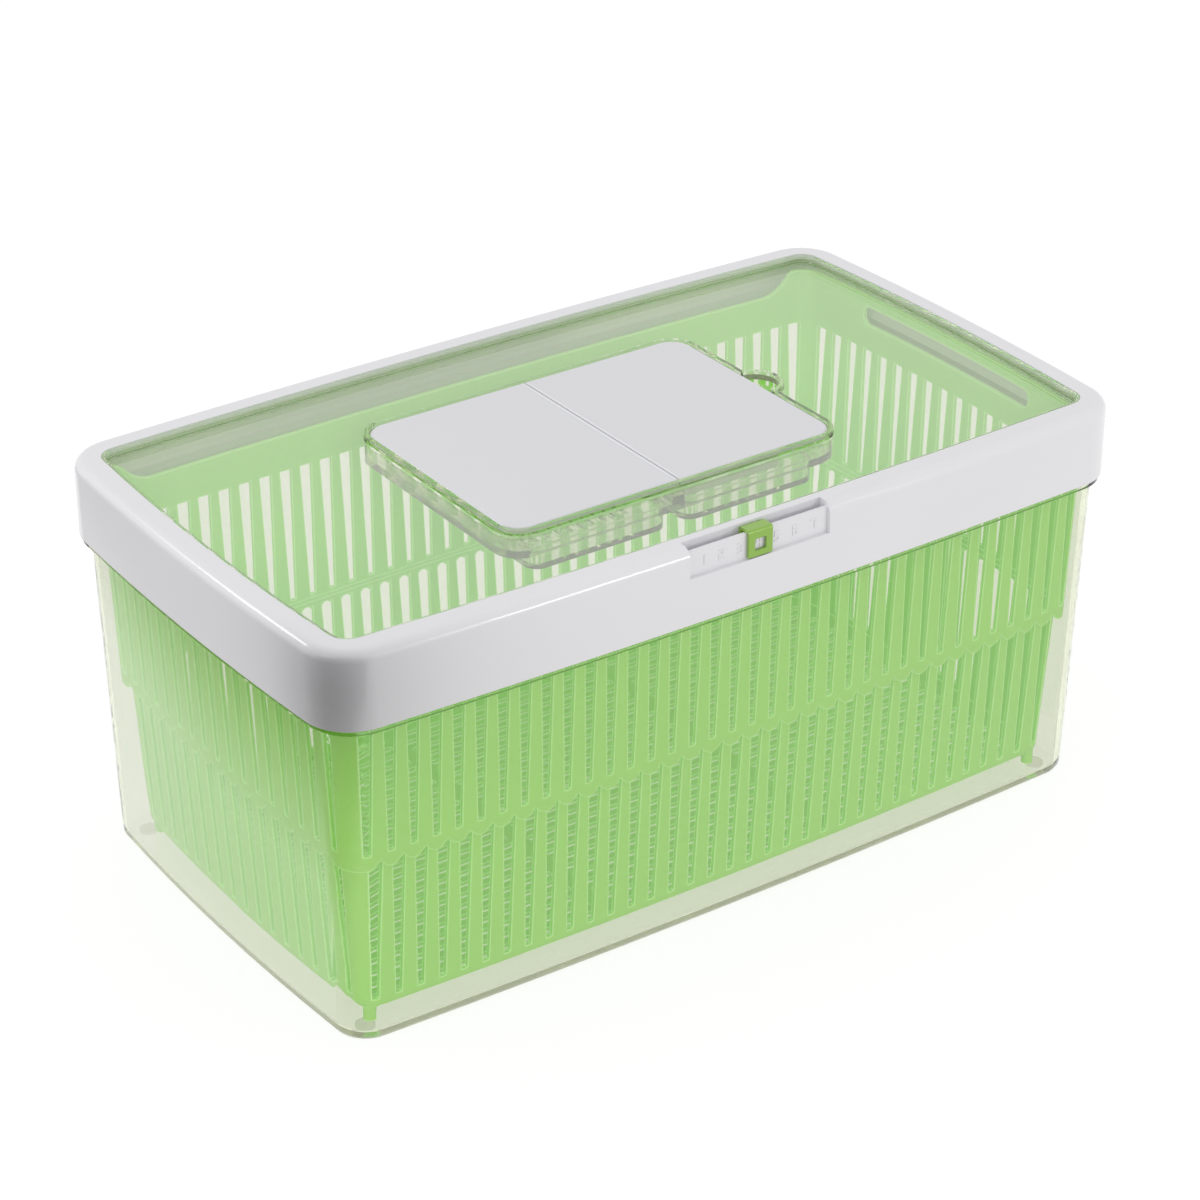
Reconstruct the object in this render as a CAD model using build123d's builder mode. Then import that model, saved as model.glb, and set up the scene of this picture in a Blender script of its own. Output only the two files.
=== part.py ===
from build123d import *
import os
from math import asin, cos, sin

# Produce keeper: a clear tapered container, a slotted two-tier basket that stands in it on four
# legs, and a deep white lid with a clear window, a filter well, a flip-up filter door and a
# clip that slides along a seven-day rail.
# Frame: X along the length, -Y is the rail side, +Z up, origin on the surface under the middle.

# Overall size
length = 320.0
width = 180.0
height = 146.5
crown = 3.1  # how far each side bows outward between its corners

# Container
foot_height = 1.0
floor_top = 3.2
collar_bottom = 118.2
rim_height = 129.6

# Basket
side_pitch = 8.1
end_pitch = 8.45
basket_base = 7.9
basket_floor = 9.5
ledge_bottom = 64.2
ledge_top = 68.3
lobe_depth = 2.9
upper_slots = (69.7, 119.6)
lower_slots = (11.9, 66.6)
resting_place = (-0.9, -2.6)  # the basket lies loose, pushed to the front
low_rim = 132.6
basket_height = 140.4

# Lid
skirt_bottom = 119.4
plate_bottom = 144.5
lid_seat = 132.9
opening_x = 151.3
opening_y = 81.2
pane_top = 143.3

# Filter well and its two-part cover
cover_x = 65.5
cover_y = 45.5
cover_top = 144.9
cover_thickness = 1.8
groove = 0.2
chamber_x = 30.4
tray_floor = 135.5
chamber_floor = 128.5
well_top = 145.1
notch_x = 65.5

# Day rail in the front of the lid
recess_half = 27.8
recess_bottom = 135.9
recess_back = -width / 2 + 5.9
rail_front = -width / 2 + 1.6
rail_back = -width / 2 + 3.2
rail_top = 144.6
day_pitch = 7.33

os.makedirs("parts", exist_ok=True)


def outline(half_x, half_y, corner):
    """Rounded rectangle whose four sides bow outward by the crown."""
    end_x = half_x - crown
    end_y = half_y - crown
    with BuildSketch() as shape:
        with BuildLine():
            ThreePointArc((-end_x, -end_y), (0, -half_y), (end_x, -end_y))
            ThreePointArc((end_x, -end_y), (half_x, 0), (end_x, end_y))
            ThreePointArc((end_x, end_y), (0, half_y), (-end_x, end_y))
            ThreePointArc((-end_x, end_y), (-half_x, 0), (-end_x, -end_y))
        make_face()
        fillet(shape.vertices(), corner)
    return shape.sketch


def slatted_outline(half_x, half_y, corner):
    """The same outline with each bowed side laid out in six straight steps."""
    end_x = half_x - crown
    end_y = half_y - crown
    steps = [i / 3 for i in range(-3, 3)]
    front = [(end_x * t, -half_y + crown * t * t) for t in steps]
    right = [(half_x - crown * t * t, end_y * t) for t in steps]
    back = [(-end_x * t, half_y - crown * t * t) for t in steps]
    left = [(-half_x + crown * t * t, -end_y * t) for t in steps]
    with BuildSketch() as shape:
        with BuildLine():
            Polyline(front + right + back + left, close=True)
        make_face()
        fillet(shape.vertices().sort_by_distance((0, 0, 0))[-4:], corner)
    return shape.sketch


# CONTAINER
# Clear moulded box: the sides draw in towards the base, a small bead runs round the outside
# just under the lid, and a straight collar stands up inside the lid.
with BuildPart() as container:
    with BuildSketch(Plane.XY.offset(foot_height)):
        add(outline(151.5, 82.1, 10.1))
    with BuildSketch(Plane.XY.offset(foot_height + 0.7)):
        add(outline(152.8, 83.4, 11.4))
    with BuildSketch(Plane.XY.offset(foot_height + 2.4)):
        add(outline(153.7, 84.2, 12.2))
    with BuildSketch(Plane.XY.offset(collar_bottom)):
        add(outline(156.0, 88.2, 14.6))
    loft(ruled=True)
    with BuildSketch(Plane.XY.offset(collar_bottom - 0.5)):
        add(outline(156.0, 87.4, 14.0))
    extrude(amount=rim_height - collar_bottom + 0.5)
    with BuildSketch(Plane.XY.offset(collar_bottom - 0.7)):
        add(outline(159.2, 89.4, 16.4))
    extrude(amount=1.4)
    with BuildSketch(Plane.XY.offset(floor_top)):
        add(outline(150.6, 81.1, 9.2))
    with BuildSketch(Plane.XY.offset(floor_top + 1.2)):
        add(outline(151.6, 82.1, 10.2))
    with BuildSketch(Plane.XY.offset(collar_bottom)):
        add(outline(153.8, 85.3, 11.8))
    loft(ruled=True, mode=Mode.SUBTRACT)
    with BuildSketch(Plane.XY.offset(collar_bottom)):
        add(outline(153.8, 85.3, 11.8))
    extrude(amount=rim_height - collar_bottom, mode=Mode.SUBTRACT)
container.part.label = "container"
export_step(container.part, "parts/container.step")

# Four low round feet under the corners, one group.
with BuildPart() as container_feet:
    with BuildSketch(Plane.XY):
        with GridLocations(2 * 141.0, 2 * 71.0, 2, 2):
            Circle(3.3)
    extrude(amount=foot_height)
container_feet.part.label = "container_feet"
export_step(container_feet.part, "parts/container_feet.step")

# BASKET
# Two tiers. The upper walls stand out over the lower ones on a ledge whose lower edge is a row
# of shallow lobes, one over each lower bar. Slots narrow downward in both tiers, and each lower
# bar stands under an upper slot. The short ends rise and carry a handle slot.
upper_side = [side_pitch * (i + 0.5) for i in range(-18, 18)]
lower_side = [side_pitch * i for i in range(-17, 18)]
upper_end = [end_pitch * i for i in range(-8, 9)]
lower_end = [end_pitch * (i + 0.5) for i in range(-8, 8)]


def slot(low, high):
    """Slot that narrows downward, drawn round the middle of its width."""
    with BuildSketch() as shape:
        Polygon((-1.15, low), (1.15, low), (2.3, high), (-2.3, high), align=None)
    return shape.sketch


def lobe_gap(pitch):
    """Pointed gap between two neighbouring lobes: its sides curve up to a cusp."""
    half = pitch / 2
    steps = [i / 4 for i in range(-4, 5)]
    curve = [(half * t, ledge_bottom + lobe_depth * (1 - abs(t)) ** 2) for t in steps]
    with BuildSketch() as shape:
        Polygon((-half, ledge_bottom - 1), *curve, (half, ledge_bottom - 1), align=None)
    return shape.sketch


# Lower tier with its own slots, slatted floor and legs.
with BuildPart() as lower_tier:
    with BuildSketch(Plane.XY.offset(basket_base)):
        add(slatted_outline(142.8, 72.6, 4.0))
    with BuildSketch(Plane.XY.offset(basket_base + 0.7)):
        add(slatted_outline(144.2, 74.0, 5.4))
    with BuildSketch(Plane.XY.offset(basket_base + 2.4)):
        add(slatted_outline(145.0, 74.8, 6.2))
    with BuildSketch(Plane.XY.offset(ledge_top)):
        add(slatted_outline(147.4, 77.6, 7.0))
    loft(ruled=True)
    with BuildSketch(Plane.XY.offset(basket_floor)):
        add(slatted_outline(143.3, 73.1, 4.6))
    with BuildSketch(Plane.XY.offset(ledge_top)):
        add(slatted_outline(146.0, 76.2, 5.6))
    loft(ruled=True, mode=Mode.SUBTRACT)
    with BuildSketch(Plane.XZ):
        with Locations(*[(x, 0) for x in lower_side]):
            add(slot(*lower_slots))
    extrude(amount=100.0, both=True, mode=Mode.SUBTRACT, clean=False)
    with BuildSketch(Plane.YZ):
        with Locations(*[(y, 0) for y in lower_end]):
            add(slot(*lower_slots))
    extrude(amount=170.0, both=True, mode=Mode.SUBTRACT, clean=False)
    with BuildSketch(Plane.XY.offset(basket_base - 1)):
        with GridLocations(92.0, 5.6, 3, 25):
            Rectangle(86.0, 2.4)
    extrude(amount=4.0, mode=Mode.SUBTRACT, clean=False)
    with BuildSketch(Plane.XY.offset(floor_top)):
        with GridLocations(2 * 138.1, 2 * 68.5, 2, 2):
            Circle(2.1)
    extrude(amount=basket_base + 1 - floor_top, clean=False)

with BuildPart() as basket:
    # Upper tier as a ring with the lobes cut along its lower edge.
    with BuildSketch(Plane.XY.offset(ledge_bottom)):
        add(slatted_outline(150.0, 79.8, 8.1))
    with BuildSketch(Plane.XY.offset(basket_height)):
        add(slatted_outline(152.2, 81.9, 9.1))
    loft(ruled=True)
    with BuildSketch(Plane.XY.offset(ledge_bottom)):
        add(slatted_outline(146.6, 76.8, 6.2))
    extrude(amount=10.0, mode=Mode.SUBTRACT)
    with BuildSketch(Plane.XY.offset(ledge_top)):
        add(slatted_outline(148.7, 78.5, 6.8))
    with BuildSketch(Plane.XY.offset(basket_height)):
        add(slatted_outline(150.8, 80.5, 7.7))
    loft(ruled=True, mode=Mode.SUBTRACT)
    with BuildSketch(Plane.XZ):
        with Locations(*[(x, 0) for x in lower_side]):
            add(lobe_gap(side_pitch))
    extrude(amount=100.0, both=True, mode=Mode.SUBTRACT, clean=False)
    with BuildSketch(Plane.YZ):
        with Locations(*[(y, 0) for y in lower_end]):
            add(lobe_gap(end_pitch))
    extrude(amount=170.0, both=True, mode=Mode.SUBTRACT, clean=False)

    # Upper slots in all four walls.
    with BuildSketch(Plane.XZ):
        with Locations(*[(x, 0) for x in upper_side]):
            add(slot(*upper_slots))
    extrude(amount=100.0, both=True, mode=Mode.SUBTRACT, clean=False)
    with BuildSketch(Plane.YZ):
        with Locations(*[(y, 0) for y in upper_end]):
            add(slot(*upper_slots))
    extrude(amount=170.0, both=True, mode=Mode.SUBTRACT, clean=False)

    # Handle slot in each raised end.
    with BuildSketch(Plane.YZ.offset(-170.0)):
        with Locations((0, 132.9)):
            RectangleRounded(91.0, 6.9, 3.0)
    extrude(amount=340.0, mode=Mode.SUBTRACT, clean=False)

    # The long rims run low and sweep up into the ends.
    rise_x = 9.5
    rise_z = 4.5
    rise_radius = (rise_x**2 + rise_z**2) / (2 * rise_z)
    half_sweep = asin(rise_x / rise_radius) / 2
    mid_x = rise_radius * sin(half_sweep)
    mid_z = rise_radius * (1 - cos(half_sweep))
    with BuildSketch(Plane.XZ):
        with BuildLine():
            Polyline((0, 150), (0, low_rim), (128, low_rim))
            ThreePointArc(
                (128, low_rim),
                (128 + mid_x, low_rim + mid_z),
                (128 + rise_x, low_rim + rise_z),
            )
            ThreePointArc(
                (128 + rise_x, low_rim + rise_z),
                (128 + 2 * rise_x - mid_x, low_rim + 2 * rise_z - mid_z),
                (128 + 2 * rise_x, low_rim + 2 * rise_z),
            )
            Polyline((128 + 2 * rise_x, low_rim + 2 * rise_z), (128 + 2 * rise_x, 150), (0, 150))
        make_face()
        mirror(about=Plane.YZ)
    extrude(amount=100.0, both=True, mode=Mode.SUBTRACT, clean=False)

    # Join the tiers.
    add(lower_tier.part, clean=False)
placed_basket = Pos(*resting_place) * basket.part
placed_basket.label = "basket"
export_step(placed_basket, "parts/basket.step")

# LID
numeral_bars = ("BC", "ABGED", "ABGCD", "FGBC", "AFGCD", "AFGEDC", "ABC")


def numeral(bars):
    """Plain numeral 3.6 mm tall, made of upright and level bars named A to G."""
    places = {
        "A": (0.0, 1.55, False),
        "B": (0.75, 0.78, True),
        "C": (0.75, -0.78, True),
        "D": (0.0, -1.55, False),
        "E": (-0.75, -0.78, True),
        "F": (-0.75, 0.78, True),
        "G": (0.0, 0.0, False),
    }
    with BuildSketch() as figure:
        for bar in bars:
            x, y, upright = places[bar]
            with Locations((x, y)):
                if upright:
                    Rectangle(0.5, 2.05)
                else:
                    Rectangle(2.0, 0.5)
    return figure.sketch


# Deep frame with a skirt that hangs over the container, a rib that presses the seal, and the
# recess that holds the day rail.
with BuildPart() as lid_frame:
    with BuildSketch(Plane.XY.offset(skirt_bottom)):
        add(outline(length / 2, width / 2, 17.0))
    extrude(amount=height - skirt_bottom)
    fillet(lid_frame.edges().group_by(Axis.Z)[-1], 3.8)
    with BuildSketch(Plane.XY.offset(skirt_bottom)):
        add(outline(length / 2 - 1.8, width / 2 - 1.8, 15.2))
    extrude(amount=plate_bottom - skirt_bottom, mode=Mode.SUBTRACT)
    with BuildSketch(Plane.XY.offset(lid_seat)):
        add(outline(156.2, 87.2, 13.2))
        add(outline(154.0, 85.0, 9.8), mode=Mode.SUBTRACT)
    extrude(amount=plate_bottom + 0.5 - lid_seat)
    # Pocket behind the rail, then the opening for the window.
    with BuildSketch(Plane.XY.offset(recess_bottom - 1.4)):
        with Locations((0, recess_back + 1.3)):
            Rectangle(2 * recess_half + 2.8, 6.4, align=(Align.CENTER, Align.MAX))
    extrude(amount=plate_bottom + 0.5 - recess_bottom + 1.4)
    with BuildSketch(Plane.XY.offset(plate_bottom - 1)):
        add(outline(opening_x, opening_y, 7.0))
    extrude(amount=5.0, mode=Mode.SUBTRACT)
    # Recess, leaving the rail standing with a slot behind it.
    with BuildSketch(Plane.XY.offset(recess_bottom)):
        with Locations((0, rail_front)):
            Rectangle(2 * recess_half, 6.0, align=(Align.CENTER, Align.MAX))
    extrude(amount=20.0, mode=Mode.SUBTRACT)
    with BuildSketch(Plane.XY.offset(rail_top - 4.8)):
        with Locations((0, recess_back)):
            Rectangle(2 * recess_half, recess_back - rail_back, align=(Align.CENTER, Align.MAX))
    extrude(amount=20.0, mode=Mode.SUBTRACT)
    with BuildSketch(Plane.XY.offset(rail_top)):
        with Locations((0, recess_back)):
            Rectangle(2 * recess_half, 12.0, align=(Align.CENTER, Align.MAX))
    extrude(amount=20.0, mode=Mode.SUBTRACT)
    # Raised day numbers on the rail, in plain bars.
    with BuildSketch(Plane.XZ.offset(-rail_front)):
        for day, bars in enumerate(numeral_bars):
            with Locations((day_pitch * (day - 3), 140.4)):
                add(numeral(bars))
    extrude(amount=0.25)
lid_frame.part.label = "lid_frame"
export_step(lid_frame.part, "parts/lid_frame.step")

# Clear window: a sunk pane whose edge turns up inside the frame and out under it.
with BuildPart() as lid_window:
    with BuildSketch(Plane.XY.offset(plate_bottom - 1.6)):
        add(outline(153.2, 82.4, 8.2))
    extrude(amount=1.5)
    with BuildSketch(Plane.XY.offset(pane_top - 2)):
        add(outline(opening_x - 0.1, opening_y - 0.1, 6.9))
    extrude(amount=height - 0.4 - pane_top + 2)
    with BuildSketch(Plane.XY.offset(pane_top)):
        add(outline(opening_x - 1.3, opening_y - 1.3, 5.7))
    extrude(amount=5.0, mode=Mode.SUBTRACT)
    with BuildSketch(Plane.XY.offset(pane_top - 3)):
        RectangleRounded(2 * 67.8, 2 * 47.8, 10.1)
        with Locations((notch_x, 0)):
            Circle(10.3)
    extrude(amount=8.0, mode=Mode.SUBTRACT)
lid_window.part.label = "lid_window"
export_step(lid_window.part, "parts/lid_window.step")

# Soft seal between the lid's rib and the container's rim.
with BuildPart() as lid_seal:
    with BuildSketch(Plane.XY.offset(rim_height + 0.05)):
        add(outline(156.6, 87.6, 13.6))
        add(outline(153.8, 84.8, 9.6), mode=Mode.SUBTRACT)
    extrude(amount=lid_seat - rim_height - 0.05)
lid_seal.part.label = "lid_seal"
export_step(lid_seal.part, "parts/lid_seal.step")

# FILTER WELL
# Clear tray in the window with a ledge for the cover, two vented chambers below and a
# half-round finger notch at the door's free edge.
with BuildPart() as filter_well:
    with BuildSketch(Plane.XY.offset(tray_floor - 1.4)):
        RectangleRounded(2 * 67.5, 2 * 47.5, 9.8)
    extrude(amount=well_top - tray_floor + 1.4)
    with BuildSketch(Plane.XY.offset(well_top - 6.2)):
        with Locations((notch_x, 0)):
            Circle(10.0)
    extrude(amount=6.2)
    with BuildSketch(Plane.XY.offset(chamber_floor - 1.4)):
        with GridLocations(2 * chamber_x, 0, 2, 1):
            RectangleRounded(54.0, 89.8, 5.0)
    extrude(amount=tray_floor - chamber_floor)
    with BuildSketch(Plane.XY.offset(cover_top - cover_thickness)):
        RectangleRounded(2 * 65.9, 2 * 45.9, 8.3)
    extrude(amount=5.0, mode=Mode.SUBTRACT)
    with BuildSketch(Plane.XY.offset(tray_floor)):
        RectangleRounded(2 * 64.6, 2 * 44.6, 7.0)
    extrude(amount=12.0, mode=Mode.SUBTRACT)
    with BuildSketch(Plane.XY.offset(well_top - 4.8)):
        with Locations((notch_x, 0)):
            Circle(8.4)
    extrude(amount=8.0, mode=Mode.SUBTRACT)
    with BuildSketch(Plane.XY.offset(chamber_floor)):
        with GridLocations(2 * chamber_x, 0, 2, 1):
            RectangleRounded(51.2, 87.0, 3.6)
    extrude(amount=12.0, mode=Mode.SUBTRACT)
    with BuildSketch(Plane.XY.offset(tray_floor - 0.5)):
        with GridLocations(0, 2 * 42.0, 1, 2):
            Rectangle(4.8, 6.0)
    extrude(amount=5.4)
    with BuildSketch(Plane.XY.offset(chamber_floor - 2)):
        with Locations((-chamber_x, 0), (chamber_x, 0)):
            with GridLocations(4.4, 0, 10, 1):
                Rectangle(1.8, 60.0)
    extrude(amount=4.0, mode=Mode.SUBTRACT)
filter_well.part.label = "filter_well"
export_step(filter_well.part, "parts/filter_well.step")

# Fixed left half of the cover.
with BuildPart() as filter_cover:
    with BuildSketch(Plane.XY.offset(cover_top - cover_thickness)):
        RectangleRounded(2 * cover_x, 2 * cover_y, 8.0)
        with Locations((-groove, 0)):
            Rectangle(100.0, 100.0, align=(Align.MIN, Align.CENTER), mode=Mode.SUBTRACT)
    extrude(amount=cover_thickness)
    chamfer(filter_cover.edges().group_by(Axis.Z)[-1].sort_by(Axis.X)[:-1], 0.6)
filter_cover.part.label = "filter_cover"
export_step(filter_cover.part, "parts/filter_cover.step")

# Right half: the door that flips up about the groove.
with BuildPart() as filter_door:
    with BuildSketch(Plane.XY.offset(cover_top - cover_thickness)):
        RectangleRounded(2 * cover_x, 2 * cover_y, 8.0)
        with Locations((groove, 0)):
            Rectangle(100.0, 100.0, align=(Align.MAX, Align.CENTER), mode=Mode.SUBTRACT)
    extrude(amount=cover_thickness)
    chamfer(filter_door.edges().group_by(Axis.Z)[-1].sort_by(Axis.X)[1:], 0.6)
filter_door.part.label = "filter_door"
export_step(filter_door.part, "parts/filter_door.step")

# FILTER
# Vented shell that lies in the right chamber, around a carbon pad.
with BuildPart() as filter_cartridge:
    with BuildSketch(Plane.XY.offset(chamber_floor)):
        with Locations((chamber_x, 0)):
            RectangleRounded(46.0, 62.0, 3.0)
    extrude(amount=7.0)
    with BuildSketch(Plane.XY.offset(chamber_floor + 1.3)):
        with Locations((chamber_x, 0)):
            Rectangle(42.0, 58.0)
    extrude(amount=4.4, mode=Mode.SUBTRACT)
    with BuildSketch(Plane.XY.offset(chamber_floor - 1)):
        with Locations((chamber_x, 0)):
            with GridLocations(20.0, 6.0, 2, 9):
                Rectangle(17.0, 3.2)
    extrude(amount=10.0, mode=Mode.SUBTRACT)
filter_cartridge.part.label = "filter_cartridge"
export_step(filter_cartridge.part, "parts/filter_cartridge.step")

with BuildPart() as carbon_pad:
    with BuildSketch(Plane.XY.offset(chamber_floor + 1.4)):
        with Locations((chamber_x, 0)):
            Rectangle(41.6, 57.6)
    extrude(amount=4.2)
carbon_pad.part.label = "carbon_pad"
export_step(carbon_pad.part, "parts/carbon_pad.step")

# DAY CLIP
# Wraps over the rail: a windowed front plate, a top plate and a leg down into the slot.
with BuildPart() as day_clip:
    with BuildSketch(Plane.YZ.offset(-4.7)):
        with BuildLine():
            Polyline(
                (rail_front - 1.35, 136.3),
                (rail_front - 0.35, 136.3),
                (rail_front - 0.35, rail_top + 0.1),
                (recess_back - 1.3, rail_top + 0.1),
                (recess_back - 1.3, 140.4),
                (recess_back - 0.2, 140.4),
                (recess_back - 0.2, rail_top + 1.2),
                (rail_front - 1.35, rail_top + 1.2),
                close=True,
            )
        make_face()
    extrude(amount=9.4)
    top_edges = day_clip.edges().filter_by(Axis.X).group_by(Axis.Z)[-1]
    fillet(top_edges, 0.9)
    with BuildSketch(Plane.XZ.offset(-rail_front)):
        with Locations((0, 140.4)):
            RectangleRounded(4.6, 4.3, 0.5)
    extrude(amount=4.0, mode=Mode.SUBTRACT)
day_clip.part.label = "day_clip"
export_step(day_clip.part, "parts/day_clip.step")
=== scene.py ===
import math

import bpy
import numpy as np
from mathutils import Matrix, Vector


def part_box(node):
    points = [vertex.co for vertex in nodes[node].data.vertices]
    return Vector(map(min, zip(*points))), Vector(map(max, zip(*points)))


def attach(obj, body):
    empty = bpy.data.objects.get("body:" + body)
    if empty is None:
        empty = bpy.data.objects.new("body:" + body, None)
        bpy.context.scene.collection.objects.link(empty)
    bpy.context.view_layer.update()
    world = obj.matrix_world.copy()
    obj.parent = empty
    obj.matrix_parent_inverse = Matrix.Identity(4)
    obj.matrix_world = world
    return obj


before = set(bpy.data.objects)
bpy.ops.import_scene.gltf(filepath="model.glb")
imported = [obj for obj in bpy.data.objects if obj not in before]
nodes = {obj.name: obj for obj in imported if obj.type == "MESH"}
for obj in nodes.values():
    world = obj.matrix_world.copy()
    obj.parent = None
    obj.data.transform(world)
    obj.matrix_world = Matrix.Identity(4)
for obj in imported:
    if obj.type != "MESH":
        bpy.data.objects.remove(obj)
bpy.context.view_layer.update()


# Lid frame. Deep white moulding with a glossy skin, soft light edges and the day numbers raised
# in the same plastic; the pane, the seal and the clip sit in it. The helpers for moulded shapes
# and for their skins are set here.
def smooth_node(name, angle):
    """Welds a node's triangles, keeps edges sharper than angle (degrees) crisp, smooths the rest."""
    obj = nodes[name]
    obj.data.polygons.foreach_set("use_smooth", np.ones(len(obj.data.polygons), dtype=bool))
    weld = obj.modifiers.new("weld", "WELD")
    weld.merge_threshold = 2e-6
    split = obj.modifiers.new("crisp_edges", "EDGE_SPLIT")
    split.split_angle = math.radians(angle)
    flat = obj.modifiers.new("flat_faces", "WEIGHTED_NORMAL")
    flat.mode = "FACE_AREA"
    flat.weight = 60
    flat.keep_sharp = True


def wear(name, mat):
    """Puts one material on a CAD node."""
    obj = nodes[name]
    obj.data.materials.clear()
    obj.data.materials.append(mat)


def new_skin(name):
    """A new material, its node tree and its main shader."""
    mat = bpy.data.materials.new(name)
    mat.use_nodes = True
    return mat, mat.node_tree, mat.node_tree.nodes["Principled BSDF"]


def noise(tree, scale, detail):
    """Noise in space on the piece's own coordinates, from 0 to 1."""
    place = tree.nodes.new("ShaderNodeTexCoord")
    pattern = tree.nodes.new("ShaderNodeTexNoise")
    pattern.inputs["Scale"].default_value = scale
    pattern.inputs["Detail"].default_value = detail
    tree.links.new(place.outputs["Object"], pattern.inputs["Vector"])
    return pattern.outputs["Fac"]


def ranged(tree, value, before, after):
    """Carries value from the range before over to the range after, and stops it at both ends."""
    scale = tree.nodes.new("ShaderNodeMapRange")
    scale.inputs["From Min"].default_value = before[0]
    scale.inputs["From Max"].default_value = before[1]
    scale.inputs["To Min"].default_value = after[0]
    scale.inputs["To Max"].default_value = after[1]
    tree.links.new(value, scale.inputs["Value"])
    return scale.outputs["Result"]


def two_tones(tree, pattern, color, darker, low, high):
    """Color times darker where pattern is at low, and the full color where it is at high."""
    ramp = tree.nodes.new("ShaderNodeValToRGB")
    ramp.color_ramp.elements[0].position = low
    ramp.color_ramp.elements[0].color = (*[c * darker for c in color], 1)
    ramp.color_ramp.elements[1].position = high
    ramp.color_ramp.elements[1].color = (*color, 1)
    tree.links.new(pattern, ramp.inputs["Fac"])
    return ramp.outputs["Color"]


def bumped(tree, pattern, strength, distance):
    """Surface normal of a skin that pattern raises by up to distance, in metres."""
    bump = tree.nodes.new("ShaderNodeBump")
    bump.inputs["Strength"].default_value = strength
    bump.inputs["Distance"].default_value = distance
    tree.links.new(pattern, bump.inputs["Height"])
    return bump.outputs["Normal"]


def plastic(name, color, roughness, grain, depth, coat=0.0):
    """Opaque moulded plastic: slow colour drift, uneven gloss and a fine moulded grain."""
    mat, tree, skin = new_skin(name)
    drift = noise(tree, scale=11.0, detail=3.0)
    tone = two_tones(tree, drift, color, darker=0.975, low=0.3, high=0.7)
    tree.links.new(tone, skin.inputs["Base Color"])
    gloss = ranged(tree, drift, (0.0, 1.0), (roughness * 0.85, roughness * 1.15))
    tree.links.new(gloss, skin.inputs["Roughness"])
    raised = bumped(tree, noise(tree, scale=grain, detail=4.0), depth, distance=0.0002)
    tree.links.new(raised, skin.inputs["Normal"])
    skin.inputs["IOR"].default_value = 1.49
    skin.inputs["Coat Weight"].default_value = coat
    skin.inputs["Coat Roughness"].default_value = 0.06
    return mat


smooth_node("lid_frame", angle=30)
white_gloss = plastic(
    "white_gloss", color=(0.78, 0.775, 0.80), roughness=0.22, grain=900.0, depth=0.05, coat=0.25
)
wear("lid_frame", white_gloss)


# Container. Clear moulded box, one wall all round with a bright polished skin and very slight
# moulding waves. Its shadows let most of the light through, as thin clear plastic does, and the
# thick plastic seen edge on is slightly olive.
def see_through(tree, color):
    """Shader that lets light straight through and multiplies it by color."""
    clear = tree.nodes.new("ShaderNodeBsdfTransparent")
    clear.inputs["Color"].default_value = (*color, 1)
    return clear.outputs["BSDF"]


def blended(tree, first, second):
    """Mix of two shaders, as a node whose Fac takes it from first at 0 to second at 1."""
    mix = tree.nodes.new("ShaderNodeMixShader")
    tree.links.new(first, mix.inputs[1])
    tree.links.new(second, mix.inputs[2])
    return mix


def either(tree, first, second):
    """One where either of two yes or no outputs is one."""
    larger = tree.nodes.new("ShaderNodeMath")
    larger.operation = "MAXIMUM"
    tree.links.new(first, larger.inputs[0])
    tree.links.new(second, larger.inputs[1])
    return larger.outputs["Value"]


def surface(tree):
    """The socket that takes the finished shader of a material."""
    return tree.nodes["Material Output"].inputs["Surface"]


def clear_plastic(name, tint, roughness, wave, depth, shade, haze=0.0):
    """Clear moulded plastic with slow surface waves and a share of white haze. Shadow rays and
    diffuse rays pass straight through it, tinted by shade."""
    mat, tree, skin = new_skin(name)
    skin.inputs["Base Color"].default_value = (*tint, 1)
    skin.inputs["Transmission Weight"].default_value = 1.0
    skin.inputs["IOR"].default_value = 1.22
    skin.inputs["Coat Weight"].default_value = 1.0
    skin.inputs["Coat Roughness"].default_value = 0.02
    skin.inputs["Coat IOR"].default_value = 1.5
    waves = noise(tree, scale=wave, detail=2.0)
    gloss = ranged(tree, waves, (0.0, 1.0), (roughness * 0.6, roughness * 1.4))
    tree.links.new(gloss, skin.inputs["Roughness"])
    tree.links.new(bumped(tree, waves, depth, distance=0.0004), skin.inputs["Normal"])
    veil = tree.nodes.new("ShaderNodeBsdfDiffuse")
    veil.inputs["Color"].default_value = (0.9, 0.9, 0.9, 1)
    hazy = blended(tree, skin.outputs["BSDF"], veil.outputs["BSDF"])
    hazy.inputs["Fac"].default_value = haze
    path = tree.nodes.new("ShaderNodeLightPath")
    soft = either(tree, path.outputs["Is Shadow Ray"], path.outputs["Is Diffuse Ray"])
    whole = blended(tree, hazy.outputs["Shader"], see_through(tree, shade))
    tree.links.new(soft, whole.inputs["Fac"])
    tree.links.new(whole.outputs["Shader"], surface(tree))
    body = tree.nodes.new("ShaderNodeVolumeAbsorption")
    body.inputs["Color"].default_value = (0.68, 0.77, 0.30, 1)
    body.inputs["Density"].default_value = 60.0
    tree.links.new(body.outputs["Volume"], tree.nodes["Material Output"].inputs["Volume"])
    return mat


smooth_node("container", angle=40)
clear_box = clear_plastic(
    "clear_box",
    tint=(0.885, 0.885, 0.875),
    roughness=0.02,
    wave=26.0,
    depth=0.02,
    shade=(0.94, 0.94, 0.94),
)

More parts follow.
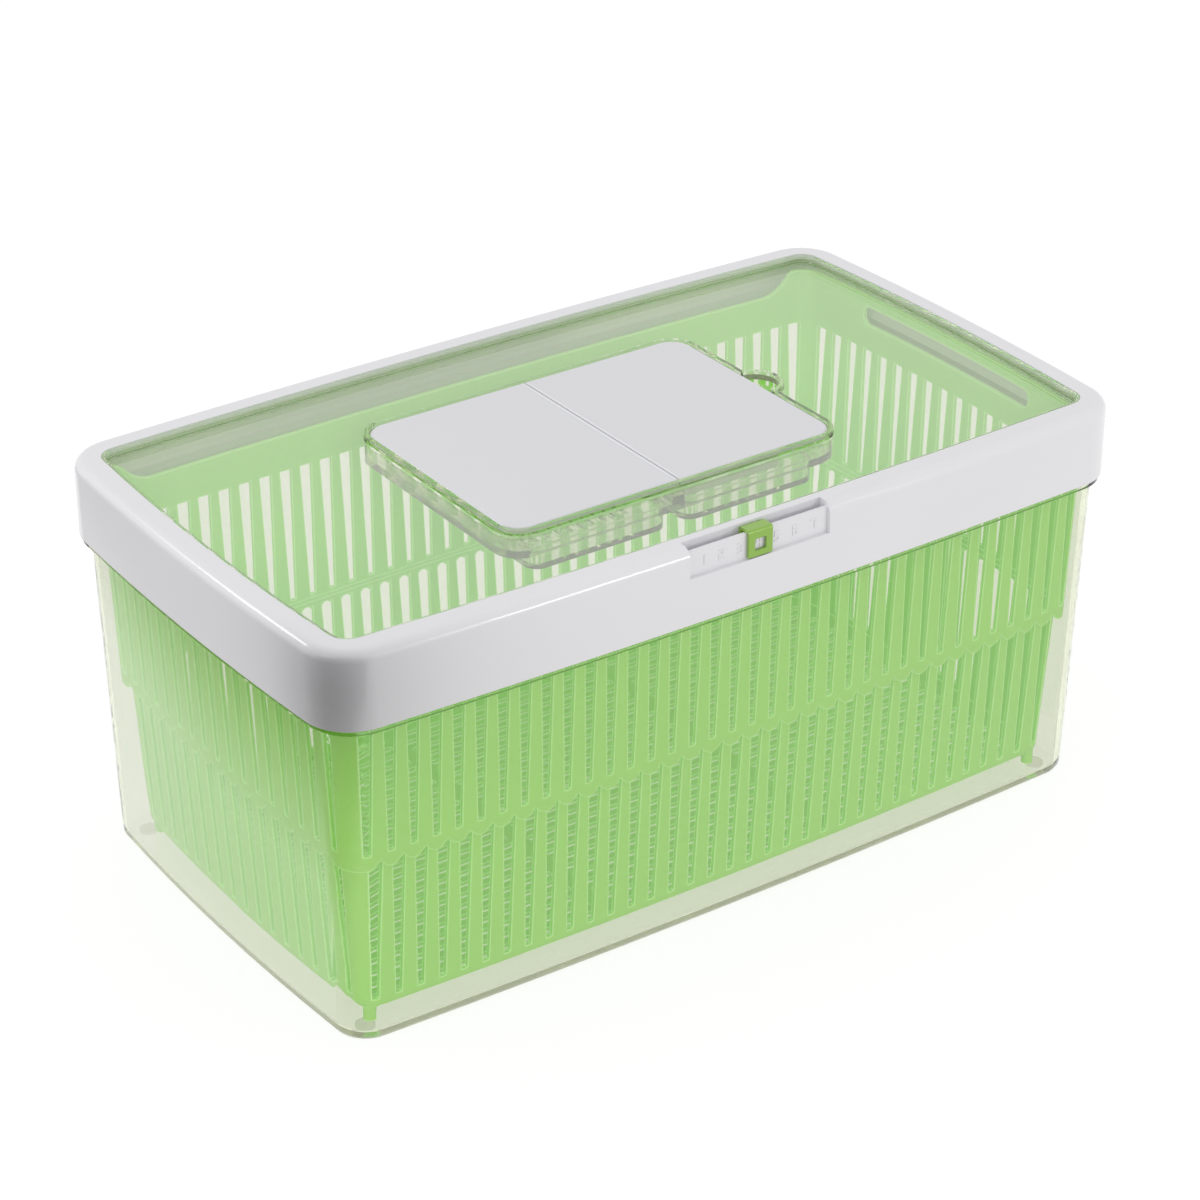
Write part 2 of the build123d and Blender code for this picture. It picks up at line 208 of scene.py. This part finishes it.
# The rounded foot of the walls, up to about 2 mm above the ground, lets some light straight
# through, so that only a thin dark line is left round the base.
base_height = 0.0017
base_fades_out = 0.0021
base_openness = 0.22
tree = clear_box.node_tree
moulded = surface(tree).links[0].from_socket
place = tree.nodes.new("ShaderNodeTexCoord")
level = tree.nodes.new("ShaderNodeSeparateXYZ")
tree.links.new(place.outputs["Object"], level.inputs["Vector"])
near_base = ranged(tree, level.outputs["Z"], (base_height, base_fades_out), (base_openness, 0.0))
open_base = blended(tree, moulded, see_through(tree, (0.95, 0.95, 0.94)))
tree.links.new(near_base, open_base.inputs["Fac"])
tree.links.new(open_base.outputs["Shader"], surface(tree))
wear("container", clear_box)


# Feet. Four low round pads of the same clear plastic, moulded on with the container. Pressed flat
# on the ground they show only as faint discs, so their skin is mostly see-through.
foot_share = 0.15
smooth_node("container_feet", angle=40)
foot_skin = plastic("clear_feet", color=(0.52, 0.56, 0.46), roughness=0.15, grain=300.0, depth=0.1)
tree = foot_skin.node_tree
disc = tree.nodes["Principled BSDF"].outputs["BSDF"]
faint = blended(tree, see_through(tree, (0.96, 0.97, 0.94)), disc)
faint.inputs["Fac"].default_value = foot_share
tree.links.new(faint.outputs["Shader"], surface(tree))
wear("container_feet", foot_skin)


# Basket. Light green translucent moulding in two slotted tiers. Light comes through the thin bars,
# so part of the skin passes it on. Its edges are a paler green, a painted highlight, and the skin
# gives off a low painted glow of its own, stronger along the edges.
def painted_highlight_mask(tree, radius):
    """One within radius (metres) of a sharp edge and nought elsewhere, from the angle between
    the surface normal and the same normal with the edges rounded off."""
    sharpest = 0.86
    flattest = 0.99
    rounded = tree.nodes.new("ShaderNodeBevel")
    rounded.samples = 3
    rounded.inputs["Radius"].default_value = radius
    flat = tree.nodes.new("ShaderNodeNewGeometry")
    facing = tree.nodes.new("ShaderNodeVectorMath")
    facing.operation = "DOT_PRODUCT"
    tree.links.new(rounded.outputs["Normal"], facing.inputs[0])
    tree.links.new(flat.outputs["Normal"], facing.inputs[1])
    return ranged(tree, facing.outputs["Value"], (flattest, sharpest), (0.0, 1.0))


def two_colors(tree, mask, painted_edge_color):
    """Colour mix as a node: its A socket where mask is nought, painted_edge_color where it is one."""
    mix = tree.nodes.new("ShaderNodeMix")
    mix.data_type = "RGBA"
    mix.inputs["B"].default_value = (*painted_edge_color, 1)
    tree.links.new(mask, mix.inputs["Factor"])
    return mix


def milky_plastic(name, color, through_color, share, roughness, glow):
    """Milky plastic: a glossy skin, paler near its edges as a painted highlight, with a painted glow
    that stands in for the light scattered inside it, low over the faces and stronger near the
    edges, mixed by share with a shader that passes light on through the thin wall."""
    mat, tree, skin = new_skin(name)
    drift = noise(tree, scale=14.0, detail=3.0)
    # Painted highlight: the skin turns a paler green within 0.8 mm of a sharp edge.
    edge = painted_highlight_mask(tree, radius=0.0008)
    painted_edge_highlight = two_colors(tree, edge, painted_edge_color=(0.80, 0.98, 0.66))
    tone = two_tones(tree, drift, color, darker=0.95, low=0.25, high=0.75)
    tree.links.new(tone, painted_edge_highlight.inputs["A"])
    tree.links.new(painted_edge_highlight.outputs["Result"], skin.inputs["Base Color"])
    gloss = ranged(tree, drift, (0.0, 1.0), (roughness * 0.8, roughness * 1.2))
    tree.links.new(gloss, skin.inputs["Roughness"])
    grain = noise(tree, scale=420.0, detail=3.0)
    tree.links.new(bumped(tree, grain, strength=0.08, distance=0.0002), skin.inputs["Normal"])
    skin.inputs["IOR"].default_value = 1.5
    # Painted glow: the skin gives off a fifth of its own colour over the faces and a light green
    # near the edges.
    painted_glow_color = two_colors(tree, edge, painted_edge_color=(0.80, 0.98, 0.62))
    painted_glow_color.inputs["A"].default_value = (*[c * 0.2 for c in color], 1)
    tree.links.new(painted_glow_color.outputs["Result"], skin.inputs["Emission Color"])
    skin.inputs["Emission Strength"].default_value = glow
    onward = tree.nodes.new("ShaderNodeBsdfTranslucent")
    onward.inputs["Color"].default_value = (*through_color, 1)
    whole = blended(tree, skin.outputs["BSDF"], onward.outputs["BSDF"])
    whole.inputs["Fac"].default_value = share
    tree.links.new(whole.outputs["Shader"], surface(tree))
    return mat


smooth_node("basket", angle=35)
green_milky = milky_plastic(
    "green_milky",
    color=(0.55, 0.88, 0.26),
    through_color=(0.50, 0.93, 0.18),
    share=0.40,
    roughness=0.3,
    # Strength of the painted glow.
    glow=0.45,
)
wear("basket", green_milky)


# Lid window. Clear moulded pane with an upturned edge, set down in the frame's opening, with a
# trace of haze in its polished skin.
smooth_node("lid_window", angle=40)
clear_pane = clear_plastic(
    "clear_pane",
    tint=(0.985, 0.99, 0.98),
    roughness=0.02,
    wave=22.0,
    depth=0.05,
    shade=(0.94, 0.94, 0.94),
    haze=0.10,
)
wear("lid_window", clear_pane)


# Seal. Soft pale ring inside the lid, pushed into the frame by hand, which closes on the
# container's rim.
smooth_node("lid_seal", angle=40)
pale_rubber = plastic("pale_rubber", color=(0.70, 0.71, 0.70), roughness=0.6, grain=700.0, depth=0.2)
wear("lid_seal", pale_rubber)


# Filter well. Clear moulded tray with two chambers and a finger notch, let into the pane, whose
# walls are a little wavier than the pane.
smooth_node("filter_well", angle=40)
clear_tray = clear_plastic(
    "clear_tray",
    tint=(0.98, 0.985, 0.97),
    roughness=0.03,
    wave=40.0,
    depth=0.06,
    shade=(0.92, 0.92, 0.92),
    haze=0.04,
)
wear("filter_well", clear_tray)


# Cover and door. Two white satin halves over the filter well, moulded in one with a thin fold
# between them: the left one stays down, the right one flips up.
satin = plastic("white_satin", color=(0.72, 0.72, 0.745), roughness=0.34, grain=1100.0, depth=0.08)
smooth_node("filter_cover", angle=30)
wear("filter_cover", satin)
smooth_node("filter_door", angle=30)
wear("filter_door", satin)


# Fold lips. A slim lip along the edge of each half, moulded in one with it, so that the fold shows
# as a double line; the lips are a lighter white than the halves, a painted highlight. Each lip goes
# with its own half when the door flips up.
def lip_rod(name, x, y_from, y_to, z, half_width, half_height, around=16, along=24):
    """Closed rod along Y with an elliptic section: x + w s cos u and z + h s sin u, where
    s = sqrt(1 - (2v - 1)^16) closes both ends as v goes from 0 to 1."""
    turn = np.linspace(0, 2 * np.pi, around, endpoint=False)
    inner = (1 - np.cos(np.pi * np.linspace(0, 1, along)))[1:-1, None] / 2
    swell = np.sqrt(1 - (2 * inner - 1) ** 16)
    across = x + half_width * swell * np.cos(turn)
    down = y_from + (y_to - y_from) * inner + 0 * turn
    up = z + half_height * swell * np.sin(turn)
    rings = np.stack([across, down, up], axis=-1).reshape(-1, 3)
    verts = np.concatenate([[[x, y_from, z]], rings, [[x, y_to, z]]])
    ring = np.arange(around)
    after = (ring + 1) % around
    row = 1 + np.arange(along - 3)[:, None] * around
    walls = np.stack([row + after, row + ring, row + around + ring, row + around + after], axis=-1)
    last_row = 1 + (along - 3) * around
    first_end = np.stack([0 * ring, 1 + ring, 1 + after], axis=-1)
    last_end = np.stack([0 * ring + len(verts) - 1, last_row + after, last_row + ring], axis=-1)
    faces = walls.reshape(-1, 4).tolist() + first_end.tolist() + last_end.tolist()
    mesh = bpy.data.meshes.new(name)
    mesh.from_pydata(verts.tolist(), [], faces)
    mesh.polygons.foreach_set("use_smooth", np.ones(len(faces), dtype=bool))
    mesh.update()
    obj = bpy.data.objects.new(name, mesh)
    bpy.context.collection.objects.link(obj)
    return obj


lip_from_fold = 0.00078
lip_half_width = 0.0005
lip_height = 0.0003
lip_end_gap = 0.0006
cover_low, cover_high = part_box("filter_cover")
# Painted highlight: the lips are a lighter white than the satin halves they are moulded with.
lip_painted_highlight = plastic("white_lip_painted_highlight", color=(0.80, 0.80, 0.82), roughness=0.3, grain=1100.0, depth=0.04)
lips = []
for name, side, body, slot in (
    ("cover_lip", -1, "lid", "filter_cover"),
    ("door_lip", 1, "filter_door", "filter_door"),
):
    lip = lip_rod(
        name,
        side * lip_from_fold,
        cover_low[1] + lip_end_gap,
        cover_high[1] - lip_end_gap,
        cover_high[2],
        lip_half_width,
        lip_height,
    )
    lip.data.materials.append(lip_painted_highlight)
    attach(lip, body)
    lips.append(lip)


# Cartridge and pad. Vented white shell that drops into the right chamber under the door, over a
# dark felted filling.
smooth_node("filter_cartridge", angle=30)
vent_shell = plastic("vent_shell", color=(0.74, 0.74, 0.72), roughness=0.5, grain=800.0, depth=0.15)
wear("filter_cartridge", vent_shell)
smooth_node("carbon_pad", angle=30)
dark_felt = plastic("dark_felt", color=(0.03, 0.03, 0.03), roughness=0.9, grain=1600.0, depth=0.9)
wear("carbon_pad", dark_felt)


# Day clip. Glossy green rider that hangs over the rail and slides along it, with a window for
# the day's number.
smooth_node("day_clip", angle=30)
clip_green = plastic(
    "clip_green", color=(0.25, 0.46, 0.05), roughness=0.26, grain=900.0, depth=0.08, coat=0.5
)
wear("day_clip", clip_green)


# Floor. Pale studio ground: white to the camera, in mirrors and through clear plastic, a little
# darker and warmer in the light that it throws back, with a faint shadow under the keeper.
floor_size = 9.0
floor_place = (0.6, 0.9, -0.0002)
floor_seen = 0.86
floor_thrown_back = 0.56
floor_warmth = (1.0, 0.985, 0.955)
floor_grey = 0.2


def glowing(tree, color, strength):
    """Shader that gives off color at strength."""
    light = tree.nodes.new("ShaderNodeEmission")
    light.inputs["Color"].default_value = (*color, 1)
    light.inputs["Strength"].default_value = strength
    return light.outputs["Emission"]


bpy.ops.mesh.primitive_plane_add(size=floor_size, location=floor_place)
floor = bpy.context.object
floor.name = "floor"
ground, tree, skin = new_skin("studio_floor")
tree.nodes.remove(skin)
path = tree.nodes.new("ShaderNodeLightPath")
seen = either(tree, path.outputs["Is Camera Ray"], path.outputs["Is Glossy Ray"])
glow = blended(
    tree,
    glowing(tree, floor_warmth, floor_thrown_back),
    glowing(tree, (1, 1, 1), floor_seen),
)
tree.links.new(seen, glow.inputs["Fac"])
matte = tree.nodes.new("ShaderNodeBsdfDiffuse")
matte.inputs["Color"].default_value = (floor_grey, floor_grey, floor_grey, 1)
both = tree.nodes.new("ShaderNodeAddShader")
tree.links.new(glow.outputs["Shader"], both.inputs[0])
tree.links.new(matte.outputs["BSDF"], both.inputs[1])
tree.links.new(both.outputs["Shader"], surface(tree))
floor.data.materials.append(ground)


# Light. An even white studio world, one large soft lamp at the front left, two small ones that
# only the white lid and the clip catch, and one at the front that only the basket catches, since
# the real one glows with light gathered all round.
world_light = 0.86
world_seen = 1.0
world = bpy.data.worlds.new("studio")
bpy.context.scene.world = world
world.use_nodes = True
tree = world.node_tree
open_light = tree.nodes["Background"]
open_light.inputs["Color"].default_value = (1, 1, 1, 1)
open_light.inputs["Strength"].default_value = world_light
backdrop = tree.nodes.new("ShaderNodeBackground")
backdrop.inputs["Color"].default_value = (1, 1, 1, 1)
backdrop.inputs["Strength"].default_value = world_seen
path = tree.nodes.new("ShaderNodeLightPath")
dome = blended(tree, open_light.outputs["Background"], backdrop.outputs["Background"])
tree.links.new(path.outputs["Is Camera Ray"], dome.inputs["Fac"])
tree.links.new(dome.outputs["Shader"], tree.nodes["World Output"].inputs["Surface"])


def softbox(name, place, target, size, watts):
    """Square lamp at place that faces target."""
    lamp = bpy.data.lights.new(name, "AREA")
    lamp.shape = "SQUARE"
    lamp.size = size
    lamp.energy = watts
    obj = bpy.data.objects.new(name, lamp)
    bpy.context.collection.objects.link(obj)
    away = np.array(place) - np.array(target)
    away = away / np.linalg.norm(away)
    obj.location = place
    obj.rotation_euler = (math.acos(away[2]), 0, math.atan2(away[0], -away[1]))
    obj.visible_camera = False
    return obj


def light_set(name, pieces):
    """Collection of the pieces that a lamp lights or is shaded by."""
    group = bpy.data.collections.new(name)
    for piece in pieces:
        group.objects.link(piece)
    return group


keeper_middle = (0, 0, 0.07)
lid_middle = (0, 0, 0.13)
lid_left = (-0.1, 0, 0.13)
softbox("front_left", (-1.5, -0.3, 0.7), keeper_middle, size=0.7, watts=2.6)
lid_pieces = [nodes[name] for name in ("lid_frame", "filter_cover", "filter_door", "day_clip")]
only_white = light_set("only_white", lid_pieces + lips)
back_left = softbox("back_left", (-0.84, 1.05, 0.93), lid_left, size=0.28, watts=2.0)
back_left.light_linking.receiver_collection = only_white
front_right = softbox("front_right", (0.7, -1.4, 0.35), lid_middle, size=0.28, watts=3.3)
front_right.light_linking.receiver_collection = only_white
basket_front = softbox("basket_front", (-0.5, -1.4, 0.9), keeper_middle, size=0.6, watts=8.0)
basket_front.light_linking.receiver_collection = light_set("only_basket", [nodes["basket"]])
basket_front.light_linking.blocker_collection = light_set("keeper_pieces", nodes.values())


# Black cloth. A small flag beside the near corner of the lid, which shades that corner, and a
# dark ground past the paper on the left, soft at its near edge, which only glossy skins mirror.
# The camera sees neither of them.
def dark_cloth(name):
    """Matt black cloth."""
    mat, tree, skin = new_skin(name)
    skin.inputs["Base Color"].default_value = (0.03, 0.02, 0.025, 1)
    skin.inputs["Roughness"].default_value = 0.9
    return mat


flag_place = (-0.1734, -0.105, 0.133)
flag_width = 0.09
flag_height = 0.06
flag_turned = math.radians(-47)
bpy.ops.mesh.primitive_plane_add(size=1.0, location=flag_place)
flag = bpy.context.object
flag.name = "black_flag"
flag.scale = (flag_width, flag_height, 1.0)
flag.rotation_euler = (math.radians(90), 0, flag_turned)
flag.visible_camera = False
flag.visible_transmission = False
flag.data.materials.append(dark_cloth("flag_cloth"))

ground_place = (-1.20, 0.6, 0.0001)
ground_width = 2.0
ground_depth = 4.0
cloth_edge = 0.5  # where the cloth starts, across a width of one
cloth_full = 0.474  # where it is fully black
bpy.ops.mesh.primitive_plane_add(size=1.0, location=ground_place)
dark_ground = bpy.context.object
dark_ground.name = "dark_ground"
dark_ground.scale = (ground_width, ground_depth, 1.0)
dark_ground.visible_camera = False
dark_ground.visible_diffuse = False
dark_ground.visible_transmission = False
dark_ground.visible_shadow = False
cloth = dark_cloth("soft_edged_cloth")
tree = cloth.node_tree
place = tree.nodes.new("ShaderNodeTexCoord")
spread = tree.nodes.new("ShaderNodeSeparateXYZ")
tree.links.new(place.outputs["Object"], spread.inputs["Vector"])
laid = tree.nodes["Principled BSDF"].outputs["BSDF"]
soft_edge = blended(tree, see_through(tree, (1, 1, 1)), laid)
fade = ranged(tree, spread.outputs["X"], (cloth_edge, cloth_full), (0.0, 1.0))
tree.links.new(fade, soft_edge.inputs["Fac"])
tree.links.new(soft_edge.outputs["Shader"], surface(tree))
dark_ground.data.materials.append(cloth)


# Camera. Long lens from the front left, looking down on the lid, as in the photograph.
camera_place = (-0.6019, -0.8616, 0.6533)
view_down = math.radians(28.62)
view_turned = math.radians(-34.956)
camera_data = bpy.data.cameras.new("camera")
camera_data.lens = 104.33
camera_data.sensor_width = 36.0
camera = bpy.data.objects.new("camera", camera_data)
camera.location = camera_place
camera.rotation_euler = (math.radians(90) - view_down, 0, view_turned)
bpy.context.collection.objects.link(camera)
bpy.context.scene.camera = camera
bpy.context.scene.view_settings.view_transform = "Standard"
